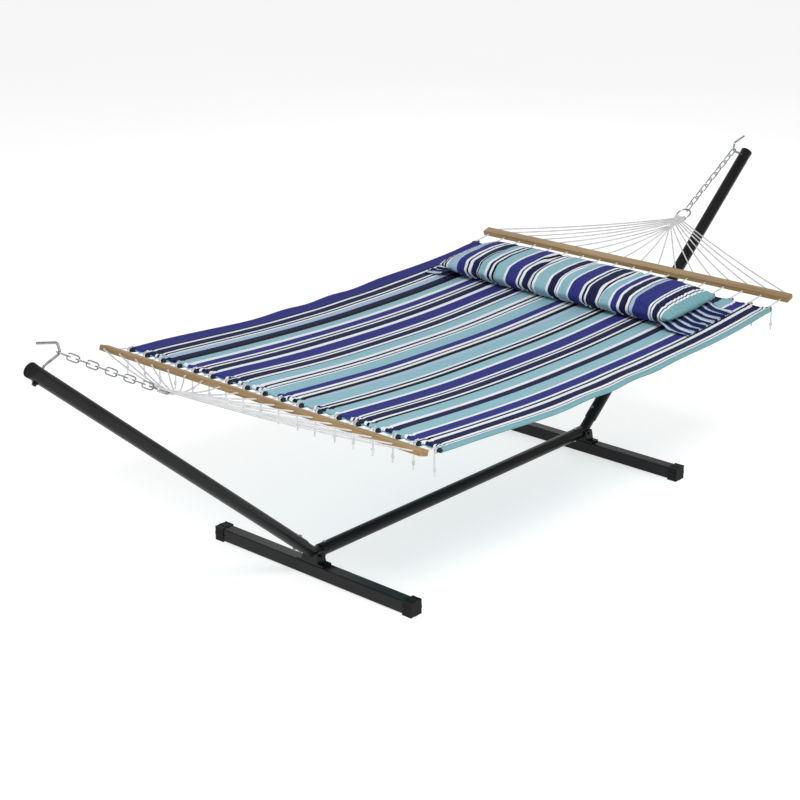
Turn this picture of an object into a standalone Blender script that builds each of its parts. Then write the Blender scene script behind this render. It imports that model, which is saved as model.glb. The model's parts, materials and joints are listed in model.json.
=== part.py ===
"""Two-person quilted hammock with wooden spreader bars, hung on a two-arm steel stand.

Metres, +Z up. The origin is on the floor under the middle of the stand, the hammock runs along X,
its head and pillow are at +X, and its foot is at -X. The two ends of the stand, the chains, the cords
and the bars are alike, so each piece is modelled once at the head end and turned about Z for the foot.
"""

import math

import bmesh
import bpy
from mathutils import Matrix, Vector

# ---------------------------------------------------------------- clearances
GAP = 0.0003            # between two pieces that touch
HOLE_EASE = 0.0003      # radial room of a bolt, hook or tube in its hole
CORD_EASE = 0.0006      # radial room of a cord in its hole
HOOK_GAP = 0.0009       # between the hook and the first link, which rocks on it
CUT_EXTRA = 0.010       # how far a cutting tool reaches past the piece
WELD = 0.000001         # corners nearer than this are one
SMOOTH_ANGLE = math.radians(40)

# ---------------------------------------------------------------- stand
BASE_SPACING = 1.482    # between the two base beams
BASE_LENGTH = 0.900     # a base beam over its end caps
BEAM_SIZE = 0.045
BEAM_WALL = 0.002
BEAM_CORNER = 0.003
CAP_SIZE = 0.051
CAP_LENGTH = 0.040
CAP_END = 0.003
CAP_SCALLOP = 0.0015
CAP_RIB = 0.010
CAP_SPIKE = 0.004

AXIS_HEIGHT = 0.079     # of the lower tube's axis above the floor
TUBE_SIZE = 0.045       # arms and lower tube, outer diameter
TUBE_WALL = 0.0025
ELBOW_WALL = 0.0025
ELBOW_RADIUS = 0.060    # of the bend, to the tube's axis
ELBOW_STUB_LOW = 0.120  # from the bend's corner to the end of each stub
ELBOW_STUB_HIGH = 0.160
ARM_ANGLE = math.radians(40.5)
ARM_REACH = 1.412       # from the bend's corner to the tip of the arm's cap
ARM_MOUTH = 0.062       # from the bend's corner to the arm's lower end
TUBE_MOUTH = 0.0255     # from the bend's corner to the lower tube's end
TIP_CAP_HEAD = 0.008
TIP_CAP_PLUG = 0.018
TIP_CAP_RIM = 0.0006

SADDLE_WIDTH = 0.041
SADDLE_HALF = 0.060
SADDLE_FLANGE = 0.006
SADDLE_HORN_BASE = 0.036
SADDLE_HORN_TOP = 0.029
SADDLE_RISE = 0.009     # of the horns above the lower tube's axis

BOLT_RADIUS = 0.003
BOLT_FLATS = 0.010
BOLT_HEAD = 0.004
NUT_HEIGHT = 0.005
BOLT_END = 0.0015
ARM_BOLT_AT = 0.098     # along the arm from the bend's corner
TUBE_BOLT_AT = 0.050
SADDLE_BOLT_Y = 0.048

# ---------------------------------------------------------------- hook, chain and ring
HOOK_WIRE = 0.008
HOOK_SETBACK = 0.037    # from the tip of the arm's cap
HOOK_BELOW = 0.033      # straight end under the arm's axis
HOOK_ABOVE = 0.031      # first bend over the arm's axis
HOOK_REACH = 0.0604
HOOK_REACH_ANGLE = math.radians(159.0)
HOOK_RISE = 0.033        # between its second and third bends
HOOK_RISE_ANGLE = math.radians(76.0)
HOOK_TAIL = 0.070
HOOK_TAIL_ANGLE = math.radians(12.5)
HOOK_BEND = 0.012
HOOK_BEND_STEPS = 12
HOOK_NUT_FLATS = 0.013
HOOK_NUT_HEIGHT = 0.008
HOOK_FLANGE = 0.020
HOOK_FLANGE_HEIGHT = 0.002

CHAIN_ANGLE = math.radians(30.0)
LINK_COUNT = 10
LINK_WIRE = 0.0045
LINK_INNER_LENGTH = 0.0423
LINK_INNER_WIDTH = 0.015
LINK_BEND_STEPS = 6
RING_WIRE = 0.006
RING_SIZE = 0.060       # outer diameter
RING_STEPS = 24

# ---------------------------------------------------------------- cords and spreader bars
FAN_ANGLE = math.radians(17.4)
FAN_LENGTH = 0.361      # from the ring's lower rim to the bar's centre
CLEW_LENGTH = 0.085     # the cords are woven together this far from the ring
CLEW_THICKNESS = 0.0102
CLEW_TIP = 0.0025       # half the width of the weave at its narrow end
CORD_COUNT = 18
CORD_SIZE = 0.005
CORD_PITCH = 0.0795     # between the holes of a bar
CORD_BUNDLE = math.radians(45.0)   # half the arc of the ring that the cords loop over
CORD_LOOP_REACH = math.radians(8)  # the loops on the ring go on past the last cord
CORD_LOOP_STEPS = 6
CORD_LAYER = 0.0026     # the cords leave the weave in two layers, this far above and below
CORD_WRAP_START = math.radians(75)  # where a cord meets the hem, from +X towards +Z
CORD_WRAP_STEP = math.radians(60)
CORD_WRAP_POINTS = 3
CORD_TAIL = 0.072       # free end under the hem
BAR_LENGTH = 1.410
BAR_DEPTH = 0.038
BAR_THICKNESS = 0.020
BAR_ROUND = 0.004

# ---------------------------------------------------------------- bed and pillow
HEM_INSET = 0.089       # from a bar's centre to the hem's centre
HEM_DROP = 0.0240
HEM_SIZE = 0.016
HEM_STEPS = 10          # round a hem's roll
BED_WIDTH = 1.380
BED_THICKNESS = 0.012
BED_SAG = 0.041
BED_STEPS = 14
PILLOW_X = 0.647
PILLOW_LENGTH = 1.050
PILLOW_DEPTH = 0.335
PILLOW_HEIGHT = 0.095
PILLOW_ROUND = 0.040
FRILL_WIDTH = 0.072
FRILL_DEPTH = 0.300
FRILL_HEIGHT = 0.010
FRILL_ROUND = 0.003

# ---------------------------------------------------------------- places worked out from the sizes
BEND_X = BASE_SPACING / 2
BEAM_Z = CAP_SIZE / 2
BEAM_TOP = BEAM_Z + BEAM_SIZE / 2
ELBOW_SIZE = TUBE_SIZE - 2 * TUBE_WALL - 2 * HOLE_EASE
BEND = Vector((BEND_X, 0, AXIS_HEIGHT))
ARM = Vector((math.cos(ARM_ANGLE), 0, math.sin(ARM_ANGLE)))
ARM_NORMAL = Vector((-math.sin(ARM_ANGLE), 0, math.cos(ARM_ANGLE)))
ACROSS = Vector((0, 1, 0))
UP = Vector((0, 0, 1))


def heading(angle):
    """A direction in the XZ plane, measured from +X towards +Z."""
    return Vector((math.cos(angle), 0, math.sin(angle)))


HOOK_FOOT = BEND + ARM * (ARM_REACH - HOOK_SETBACK)
HOOK_FIRST = HOOK_FOOT + ARM_NORMAL * HOOK_ABOVE
HOOK_CORNER = HOOK_FIRST + heading(HOOK_REACH_ANGLE) * HOOK_REACH
HOOK_LAST = HOOK_CORNER + heading(HOOK_RISE_ANGLE) * HOOK_RISE
HOOK_END = HOOK_LAST + heading(HOOK_TAIL_ANGLE) * HOOK_TAIL
HOOK_HALF_ANGLE = (HOOK_RISE_ANGLE - HOOK_REACH_ANGLE + math.pi) / 2
HOOK_CENTRE = HOOK_CORNER + heading(HOOK_RISE_ANGLE - HOOK_HALF_ANGLE) * (
    HOOK_BEND / math.sin(HOOK_HALF_ANGLE))
PULL = -heading(CHAIN_ANGLE)
HOOK_SEAT = HOOK_CENTRE + PULL * HOOK_BEND

LINK_PITCH = LINK_INNER_LENGTH - LINK_WIRE - GAP
CHAIN_SPAN = (LINK_COUNT * LINK_INNER_LENGTH - (LINK_COUNT - 1) * (LINK_WIRE + GAP)
              - (RING_WIRE + HOOK_WIRE) / 2 - GAP - HOOK_GAP)
RING_RADIUS = (RING_SIZE - RING_WIRE) / 2
RING_TOP = HOOK_SEAT + PULL * CHAIN_SPAN
RING_CENTRE = RING_TOP + PULL * RING_RADIUS
FAN_TIP = RING_CENTRE + PULL * RING_RADIUS
BAR_CENTRE = FAN_TIP - heading(FAN_ANGLE) * FAN_LENGTH

SWING_AXIS = HOOK_SEAT - PULL * HOOK_WIRE / 2
ROLL_AXIS = RING_TOP + PULL * RING_WIRE / 2

CLEW_SIDE = RING_RADIUS * math.sin(CORD_BUNDLE)
HEM = BAR_CENTRE - Vector((HEM_INSET, 0, HEM_DROP))


def bed_height(x):
    """Middle of the bed's thickness, a shallow parabola between its hems."""
    return HEM.z - BED_SAG * (1 - (x / HEM.x) ** 2)


BED_SLOPE = math.atan(2 * BED_SAG * PILLOW_X / HEM.x ** 2)


# ---------------------------------------------------------------- Blender helpers
def clear_scene():
    for thing in list(bpy.data.objects):
        bpy.data.objects.remove(thing, do_unlink=True)


def new_collection(name):
    made = bpy.data.collections.new(name)
    bpy.context.scene.collection.children.link(made)
    return made


def new_material(name, colour, roughness, metallic=0.0):
    made = bpy.data.materials.new(name)
    made.use_nodes = True
    shader = made.node_tree.nodes["Principled BSDF"]
    shader.inputs["Base Color"].default_value = (*colour, 1.0)
    shader.inputs["Roughness"].default_value = roughness
    shader.inputs["Metallic"].default_value = metallic
    return made


clear_scene()
PARTS = new_collection("hammock_on_stand")
CUTTERS = new_collection("cutters")

MATERIALS = {
    "steel": new_material("black_steel", (0.016, 0.016, 0.018), 0.38, 0.2),
    "plastic": new_material("black_plastic", (0.02, 0.02, 0.02), 0.55),
    "zinc": new_material("zinc", (0.72, 0.73, 0.75), 0.30, 1.0),
    "wood": new_material("oak", (0.50, 0.33, 0.17), 0.55),
    "cord": new_material("white_cord", (0.85, 0.85, 0.84), 0.85),
    "bed": new_material("striped_quilt", (0.18, 0.24, 0.50), 0.9),
    "pillow": new_material("striped_pillow", (0.30, 0.50, 0.58), 0.9),
    "frill": new_material("frill", (0.10, 0.12, 0.35), 0.9),
}


def to_mesh(name, form):
    """A mesh from a bmesh, with its faces turned out."""
    bmesh.ops.recalc_face_normals(form, faces=form.faces)
    made = bpy.data.meshes.new(name)
    form.to_mesh(made)
    form.free()
    return made


def temporary(mesh, collection):
    """An object that only lives while a mesh is worked out, drawn as wire."""
    made = bpy.data.objects.new(mesh.name, mesh)
    collection.objects.link(made)
    made.hide_render = True
    made.display_type = "WIRE"
    return made


def evaluated_mesh(thing, name):
    """The mesh of an object with its curve or modifiers worked out, its caps welded."""
    bpy.context.view_layer.update()
    graph = bpy.context.evaluated_depsgraph_get()
    made = bpy.data.meshes.new_from_object(thing.evaluated_get(graph))
    made.name = name
    form = bmesh.new()
    form.from_mesh(made)
    bmesh.ops.remove_doubles(form, verts=form.verts, dist=WELD)
    form.to_mesh(made)
    form.free()
    return made


def combine(body, operation, *tools):
    """The body after each tool mesh is cut from it or joined to it."""
    base = temporary(body, CUTTERS)
    helpers = [base]
    for tool in tools:
        helper = temporary(tool, CUTTERS)
        helpers.append(helper)
        step = base.modifiers.new("boolean", "BOOLEAN")
        step.operation = operation
        step.solver = "EXACT"
        step.object = helper
    made = evaluated_mesh(base, body.name)
    for helper in helpers:
        bpy.data.objects.remove(helper, do_unlink=True)
    return made


def box(name, size, centre=(0, 0, 0), rounding=0.0, steps=1, turn=None, long_only=False):
    """A box of the given size, with its edges rounded, turned about its own centre.

    With long_only, only the four edges along Y are rounded.
    """
    form = bmesh.new()
    bmesh.ops.create_cube(form, size=1.0, matrix=Matrix.Diagonal((*size, 1.0)))
    if rounding:
        edges = [edge for edge in form.edges
                 if not long_only or abs((edge.verts[0].co - edge.verts[1].co).y) > size[1] / 2]
        bmesh.ops.bevel(form, geom=edges, offset=rounding, segments=steps,
                        profile=0.5, affect="EDGES")
    place = Matrix.Translation(centre) @ (turn or Matrix.Identity(4))
    bmesh.ops.transform(form, matrix=place, verts=form.verts)
    return to_mesh(name, form)


def rod(name, start, end, radius, sides=24):
    """A round or six-sided bar between two points."""
    along = end - start
    turn = along.to_track_quat("Z", "Y").to_matrix().to_4x4()
    form = bmesh.new()
    bmesh.ops.create_cone(form, cap_ends=True, segments=sides, radius1=radius, radius2=radius,
                          depth=along.length, matrix=Matrix.Translation((start + end) / 2) @ turn)
    return to_mesh(name, form)


def pipe(name, start, end, outer, wall, sides=24):
    """A straight tube, open at both ends."""
    along = (end - start).normalized()
    bore = rod("bore", start - along * CUT_EXTRA, end + along * CUT_EXTRA, outer / 2 - wall, sides)
    return combine(rod(name, start, end, outer / 2, sides), "DIFFERENCE", bore)


def wire(name, points, radius, resolution=1, closed=False):
    """A round wire through points, as a welded mesh with filled ends."""
    data = bpy.data.curves.new(name, "CURVE")
    data.dimensions = "3D"
    data.bevel_depth = radius
    data.bevel_resolution = resolution
    data.use_fill_caps = True
    line = data.splines.new("POLY")
    line.points.add(len(points) - 1)
    for slot, point in zip(line.points, points):
        slot.co = (*point, 1.0)
    line.use_cyclic_u = closed
    made = temporary(data, CUTTERS)
    mesh = evaluated_mesh(made, name)
    bpy.data.objects.remove(made, do_unlink=True)
    form = bmesh.new()
    form.from_mesh(mesh)
    return to_mesh(name, form)


def plate(name, outline, thickness, place):
    """A flat outline given a thickness, centred on its plane."""
    form = bmesh.new()
    corners = [form.verts.new((x, y, -thickness / 2)) for x, y in outline]
    face = form.faces.new(corners)
    raised = bmesh.ops.extrude_face_region(form, geom=[face])
    moved = [item for item in raised["geom"] if isinstance(item, bmesh.types.BMVert)]
    bmesh.ops.translate(form, verts=moved, vec=(0, 0, thickness))
    bmesh.ops.transform(form, matrix=place, verts=form.verts)
    return to_mesh(name, form)


def rounded_path(points, radius, steps=5):
    """A polyline whose inner corners are arcs of one radius."""
    path = [points[0]]
    for before, corner, after in zip(points, points[1:], points[2:]):
        back = (before - corner).normalized()
        ahead = (after - corner).normalized()
        half = back.angle(ahead) / 2
        middle = corner + (back + ahead).normalized() * (radius / math.sin(half))
        first = corner + back * (radius / math.tan(half)) - middle
        last = corner + ahead * (radius / math.tan(half)) - middle
        for step in range(steps + 1):
            path.append(middle + first.lerp(last, step / steps).normalized() * radius)
    path.append(points[-1])
    return path


def smooth_round(mesh):
    mesh.shade_smooth()
    mesh.set_sharp_from_angle(angle=SMOOTH_ANGLE)


def add_part(name, mesh, material, parent=None, turned=False):
    """A named piece. A turned one is the foot end's copy of a piece made at the head end."""
    made = bpy.data.objects.new(name, mesh)
    PARTS.objects.link(made)
    if not mesh.materials:
        mesh.materials.append(MATERIALS[material])
    if turned:
        made.matrix_world = Matrix.Rotation(math.pi, 4, "Z")
    if parent:
        made.parent = parent
        made.matrix_parent_inverse = parent.matrix_world.inverted()
    return made


def add_both_ends(name, mesh, material, head=None, foot=None):
    add_part("head_" + name, mesh, material, head)
    add_part("foot_" + name, mesh, material, foot, turned=True)


def add_axis(name, place, parent=None):
    """An empty on a joint's axis, which carries the pieces that move about it."""
    made = bpy.data.objects.new(name, None)
    PARTS.objects.link(made)
    made.empty_display_size = 0.05
    made.location = place
    bpy.context.view_layer.update()
    if parent:
        made.parent = parent
        made.matrix_parent_inverse = parent.matrix_world.inverted()
        bpy.context.view_layer.update()
    return made


def hexagon_radius(flats):
    return flats / math.sqrt(3)


def bolt(name, seat, direction, grip):
    """A hexagon bolt with its nut: it enters at the seat and grips the given length."""
    head = rod("head", seat - direction * (BOLT_HEAD + GAP), seat - direction * GAP,
               hexagon_radius(BOLT_FLATS), 6)
    nut_start = seat + direction * (grip + GAP)
    nut_end = nut_start + direction * NUT_HEIGHT
    nut = rod("nut", nut_start, nut_end, hexagon_radius(BOLT_FLATS), 6)
    shank = rod(name, seat - direction * (BOLT_HEAD / 2), nut_end + direction * BOLT_END,
                BOLT_RADIUS, 6)
    return combine(shank, "UNION", head, nut)


def drill(name, centre, direction, half_length, radius=BOLT_RADIUS + HOLE_EASE):
    return rod(name, centre - direction * half_length, centre + direction * half_length, radius, 10)


# ---------------------------------------------------------------- stand
def cap_outline():
    """A square with a rib in the middle of each side and a spike at each corner."""
    outer = CAP_SIZE / 2
    inner = outer - CAP_SCALLOP
    quarter = [(outer, outer), (outer - CAP_SPIKE, inner), (CAP_RIB / 2 + CAP_SCALLOP, inner),
               (CAP_RIB / 2, outer), (-CAP_RIB / 2, outer), (-CAP_RIB / 2 - CAP_SCALLOP, inner),
               (CAP_SPIKE - outer, inner)]
    points = []
    for turn in range(4):
        angle = turn * math.pi / 2
        c, s = round(math.cos(angle)), round(math.sin(angle))
        points += [(x * c - y * s, x * s + y * c) for x, y in quarter]
    return points


def end_cap(side):
    """The plastic cap over one end of a base beam, side is +1 or -1 along Y."""
    middle = side * (BASE_LENGTH - CAP_LENGTH) / 2
    place = Matrix.Translation((BEND_X, middle, BEAM_Z)) @ Matrix.Rotation(math.pi / 2, 4, "X")
    shell = plate("end_cap", cap_outline(), CAP_LENGTH, place)
    room = BEAM_SIZE + 2 * HOLE_EASE
    pocket = box("pocket", (room, CAP_LENGTH, room), (BEND_X, middle - side * CAP_END, BEAM_Z))
    return combine(shell, "DIFFERENCE", pocket)


def base_beam():
    length = BASE_LENGTH - 2 * (CAP_END + GAP)
    outer = box("base_beam", (BEAM_SIZE, length, BEAM_SIZE), (BEND_X, 0, BEAM_Z),
                BEAM_CORNER, 2, long_only=True)
    inner = BEAM_SIZE - 2 * BEAM_WALL
    hollow = box("hollow", (inner, BASE_LENGTH, inner), (BEND_X, 0, BEAM_Z))
    holes = [drill("hole", Vector((BEND_X, side * SADDLE_BOLT_Y, BEAM_TOP)), UP, CUT_EXTRA)
             for side in (-1, 1)]
    return combine(outer, "DIFFERENCE", hollow, *holes)


def elbow_path(low, high):
    corners = [BEND - Vector((low, 0, 0)), BEND, BEND + ARM * high]
    return rounded_path(corners, ELBOW_RADIUS, 4)


def elbow():
    """The bent tube under the arm: the lower tube and the arm slide over its stubs."""
    outer = wire("elbow", elbow_path(ELBOW_STUB_LOW, ELBOW_STUB_HIGH), ELBOW_SIZE / 2, 6)
    bore = wire("bore", elbow_path(ELBOW_STUB_LOW + CUT_EXTRA, ELBOW_STUB_HIGH + CUT_EXTRA),
                ELBOW_SIZE / 2 - ELBOW_WALL, 6)
    holes = [drill("arm_hole", BEND + ARM * ARM_BOLT_AT, ARM_NORMAL, TUBE_SIZE),
             drill("tube_hole", BEND - Vector((TUBE_BOLT_AT, 0, 0)), UP, TUBE_SIZE),
             drill("cross_hole", BEND, ACROSS, TUBE_SIZE)]
    return combine(outer, "DIFFERENCE", bore, *holes)


def saddle():
    """The bracket between the beam and the elbow, a flange with two horns."""
    base = BEAM_TOP + GAP
    top = AXIS_HEIGHT + SADDLE_RISE
    half = [(SADDLE_HALF, base), (SADDLE_HALF, base + SADDLE_FLANGE),
            (SADDLE_HORN_BASE, base + SADDLE_FLANGE), (SADDLE_HORN_TOP, top)]
    outline = half + [(-y, z) for y, z in reversed(half)]
    place = Matrix(((0, 0, 1, BEND_X), (1, 0, 0, 0), (0, 1, 0, 0), (0, 0, 0, 1)))
    body = plate("saddle", outline, SADDLE_WIDTH, place)
    room = ELBOW_SIZE / 2 + HOLE_EASE
    seat = wire("seat", elbow_path(ELBOW_STUB_LOW, ELBOW_STUB_HIGH), room + HOLE_EASE, 6)
    mouth = box("mouth", (SADDLE_WIDTH * 2, 2 * room, 2 * room), (BEND_X, 0, AXIS_HEIGHT + room))
    holes = [drill("hole", Vector((BEND_X, side * SADDLE_BOLT_Y, base)), UP, 2 * CUT_EXTRA)
             for side in (-1, 1)]
    cross = drill("cross", BEND, ACROSS, SADDLE_HALF)
    return combine(body, "DIFFERENCE", seat, mouth, cross, *holes)


def horn_width():
    """Half the saddle's width across its horns at the cross bolt."""
    base = BEAM_TOP + GAP + SADDLE_FLANGE
    share = (AXIS_HEIGHT - base) / (AXIS_HEIGHT + SADDLE_RISE - base)
    return SADDLE_HORN_BASE + (SADDLE_HORN_TOP - SADDLE_HORN_BASE) * share


def arm():
    """A sloping tube that slides over the elbow and carries the hook near its tip."""
    start = BEND + ARM * ARM_MOUTH
    end = BEND + ARM * (ARM_REACH - TIP_CAP_HEAD - GAP)
    holes = [drill("bolt_hole", BEND + ARM * ARM_BOLT_AT, ARM_NORMAL, TUBE_SIZE),
             drill("hook_hole", HOOK_FOOT, ARM_NORMAL, TUBE_SIZE, HOOK_WIRE / 2 + HOLE_EASE)]
    return combine(pipe("arm", start, end, TUBE_SIZE, TUBE_WALL), "DIFFERENCE", *holes)


def tip_cap():
    """The plastic plug in the arm's upper end."""
    tip = BEND + ARM * ARM_REACH
    shoulder = tip - ARM * TIP_CAP_HEAD
    head = rod("tip_cap", shoulder, tip, TUBE_SIZE / 2 + TIP_CAP_RIM)
    plug = rod("plug", shoulder - ARM * TIP_CAP_PLUG, shoulder + ARM * TIP_CAP_HEAD / 2,
               TUBE_SIZE / 2 - TUBE_WALL - HOLE_EASE)
    return combine(head, "UNION", plug)


def lower_tube():
    """The tube along the floor, which slides over both elbows."""
    end = Vector((BEND_X - TUBE_MOUTH, 0, AXIS_HEIGHT))
    start = Vector((-end.x, 0, AXIS_HEIGHT))
    body = pipe("lower_tube", start, end, TUBE_SIZE, TUBE_WALL)
    holes = [drill("hole", Vector((side * (BEND_X - TUBE_BOLT_AT), 0, AXIS_HEIGHT)), UP, TUBE_SIZE)
             for side in (-1, 1)]
    return combine(body, "DIFFERENCE", *holes)


def hook():
    """The bent rod through the arm, on whose bend the chain hangs."""
    corners = [HOOK_FOOT - ARM_NORMAL * HOOK_BELOW, HOOK_FIRST, HOOK_CORNER, HOOK_LAST,
               HOOK_END]
    return wire("hook", rounded_path(corners, HOOK_BEND, HOOK_BEND_STEPS), HOOK_WIRE / 2, 3)


def hook_nut():
    """The flange nut on the hook's end, under the arm."""
    face = HOOK_FOOT - ARM_NORMAL * (TUBE_SIZE / 2 + GAP)
    flange = rod("hook_nut", face - ARM_NORMAL * HOOK_FLANGE_HEIGHT, face, HOOK_FLANGE / 2, 16)
    body = rod("body", face - ARM_NORMAL * HOOK_NUT_HEIGHT, face - ARM_NORMAL * HOOK_FLANGE_HEIGHT / 2,
               hexagon_radius(HOOK_NUT_FLATS), 6)
    bore = drill("bore", HOOK_FOOT, ARM_NORMAL, HOOK_BELOW + CUT_EXTRA, HOOK_WIRE / 2 + HOLE_EASE)
    return combine(combine(flange, "UNION", body), "DIFFERENCE", bore)


# ---------------------------------------------------------------- chain, ring, cords and bars
def link_mesh():
    """One oval link about the origin: its length along X and its width along Y."""
    bend = (LINK_INNER_WIDTH + LINK_WIRE) / 2
    straight = (LINK_INNER_LENGTH + LINK_WIRE) / 2 - bend
    points = []
    for side in (1, -1):
        for step in range(LINK_BEND_STEPS + 1):
            angle = math.pi * (step / LINK_BEND_STEPS - 0.5)
            points.append(Vector((side * (straight + bend * math.cos(angle)),
                                  side * bend * math.sin(angle), 0)))
    return wire("chain_link", points, LINK_WIRE / 2, 1, closed=True)


def link_place(number):
    """Where a link sits on the head chain, counted from the hook: odd ones lie across it."""
    start = HOOK_SEAT - PULL * (HOOK_WIRE / 2 + HOOK_GAP)
    centre = start + PULL * (LINK_INNER_LENGTH / 2 + number * LINK_PITCH)
    place = Matrix.Translation(centre) @ Matrix.Rotation(-CHAIN_ANGLE, 4, "Y")
    if number % 2:
        place = place @ Matrix.Rotation(math.pi / 2, 4, "X")
    return place


def fan_place():
    """The cords' own frame at the bar: X towards the ring, Y across, Z out of the fan."""
    return Matrix.Translation(BAR_CENTRE) @ Matrix.Rotation(-FAN_ANGLE, 4, "Y")


def ring_mesh(minor, sides):
    form = bmesh.new()
    loops = []
    for step in range(RING_STEPS):
        turn = Matrix.Rotation(2 * math.pi * step / RING_STEPS, 4, "Z")
        circle = [turn @ Vector((RING_RADIUS + minor * math.cos(2 * math.pi * k / sides), 0,
                                 minor * math.sin(2 * math.pi * k / sides))) for k in range(sides)]
        loops.append([form.verts.new(point) for point in circle])
    for here, ahead in zip(loops, loops[1:] + loops[:1]):
        for k in range(sides):
            form.faces.new((here[k], ahead[k], ahead[(k + 1) % sides], here[(k + 1) % sides]))
    place = Matrix.Translation(RING_CENTRE) @ Matrix.Rotation(-CHAIN_ANGLE, 4, "Y")
    bmesh.ops.transform(form, matrix=place, verts=form.verts)
    return to_mesh("ring", form)


def cord_y(number):
    return (number - (CORD_COUNT - 1) / 2) * CORD_PITCH


def cord_path(number):
    """A cord from the weave, through its hole, over the hem's outer side and down to its free end."""
    place = fan_place()
    y = cord_y(number)
    layer = CORD_LAYER if number % 2 else -CORD_LAYER
    share = y / cord_y(CORD_COUNT - 1)
    mouth = BAR_DEPTH / 2 + CORD_SIZE
    points = [place @ Vector((FAN_LENGTH - CLEW_LENGTH * (1 - abs(share)), CLEW_SIDE * share, layer)),
              place @ Vector((mouth, y, 0)),
              place @ Vector((-mouth, y, 0))]
    wrap = ((HEM_SIZE + CORD_SIZE) / 2 + GAP) / math.cos(CORD_WRAP_STEP / 2)
    for turn in range(CORD_WRAP_POINTS):
        points.append(HEM + heading(CORD_WRAP_START - turn * CORD_WRAP_STEP) * wrap + ACROSS * y)
    points.append(points[-1] - UP * CORD_TAIL)
    return points


def cord_fan():
    """All the cords of one end, their weave and the loops by which they hold the ring."""
    reach = CORD_BUNDLE + CORD_LOOP_REACH
    loop = []
    for step in range(CORD_LOOP_STEPS + 1):
        angle = reach * (2 * step / CORD_LOOP_STEPS - 1)
        loop.append(RING_CENTRE + (PULL * math.cos(angle) + ACROSS * math.sin(angle)) * RING_RADIUS)
    bundle = wire("cord_fan", loop, RING_WIRE / 2 + CORD_SIZE, 2)
    broad = CLEW_SIDE + CORD_SIZE / 2
    narrow = FAN_LENGTH - CLEW_LENGTH - CORD_SIZE
    outline = [(FAN_LENGTH, -broad), (FAN_LENGTH, broad), (narrow, CLEW_TIP), (narrow, -CLEW_TIP)]
    weave = plate("weave", outline, CLEW_THICKNESS, fan_place())
    cords = [wire("cord", cord_path(number), CORD_SIZE / 2) for number in range(CORD_COUNT)]
    joined = combine(bundle, "UNION", weave, *cords)
    return combine(joined, "DIFFERENCE", ring_mesh(RING_WIRE / 2 + 2 * HOLE_EASE, 8))


def spreader_bar():
    """The wooden bar that holds the cords apart, with a hole for each."""
    turn = Matrix.Rotation(-FAN_ANGLE, 4, "Y")
    body = box("spreader_bar", (BAR_DEPTH, BAR_LENGTH, BAR_THICKNESS), BAR_CENTRE, BAR_ROUND, 2, turn)
    holes = bmesh.new()
    for number in range(CORD_COUNT):
        place = fan_place() @ Matrix.Translation((0, cord_y(number), 0))
        place = place @ Matrix.Rotation(math.pi / 2, 4, "Y")
        radius = CORD_SIZE / 2 + CORD_EASE
        bmesh.ops.create_cone(holes, cap_ends=True, segments=8, radius1=radius, radius2=radius,
                              depth=BAR_DEPTH + 2 * CUT_EXTRA, matrix=place)
    return combine(body, "DIFFERENCE", to_mesh("holes", holes))


# ---------------------------------------------------------------- bed and pillow
def bed_outline():
    """The bed in the XZ plane: a sagging sheet with a rolled hem at each end."""
    roll = HEM_SIZE / 2
    root = math.pi - math.asin(BED_THICKNESS / HEM_SIZE)
    tie = HEM.x - roll * abs(math.cos(root))
    top = []
    for step in range(1, BED_STEPS):
        x = -tie + 2 * tie * step / BED_STEPS
        top.append((x, bed_height(x) + BED_THICKNESS / 2))
    points = list(top)
    for step in range(HEM_STEPS + 1):
        angle = root * (1 - 2 * step / HEM_STEPS)
        points.append((HEM.x + roll * math.cos(angle), HEM.z + roll * math.sin(angle)))
    points += [(x, z - BED_THICKNESS) for x, z in reversed(top)]
    for step in range(HEM_STEPS + 1):
        angle = root * (2 * step / HEM_STEPS - 1)
        points.append((-HEM.x - roll * math.cos(angle), HEM.z + roll * math.sin(angle)))
    return points


def bed():
    place = Matrix(((1, 0, 0, 0), (0, 0, 1, 0), (0, 1, 0, 0), (0, 0, 0, 1)))
    return plate("bed", bed_outline(), BED_WIDTH, place)


def on_the_bed(y, height, depth):
    """The place of something of this height and depth that lies on the bed at the pillow."""
    room = BED_SAG * (depth / 2 / HEM.x) ** 2 + GAP
    lift = BED_THICKNESS / 2 + room + height / 2
    normal = heading(BED_SLOPE + math.pi / 2)
    spot = Vector((PILLOW_X, y, bed_height(PILLOW_X))) + normal * lift
    return spot, Matrix.Rotation(-BED_SLOPE, 4, "Y")


def pillow():
    spot, turn = on_the_bed(0, PILLOW_HEIGHT, PILLOW_DEPTH)
    size = (PILLOW_DEPTH, PILLOW_LENGTH, PILLOW_HEIGHT)
    return box("pillow", size, spot, PILLOW_ROUND, 3, turn)


def frill(side):
    """The gathered strip at one end of the pillow, lying flat on the bed."""
    middle = side * (PILLOW_LENGTH / 2 + GAP + FRILL_WIDTH / 2)
    spot, turn = on_the_bed(middle, FRILL_HEIGHT, FRILL_DEPTH)
    return box("frill", (FRILL_DEPTH, FRILL_WIDTH, FRILL_HEIGHT), spot, FRILL_ROUND, 1, turn)


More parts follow.
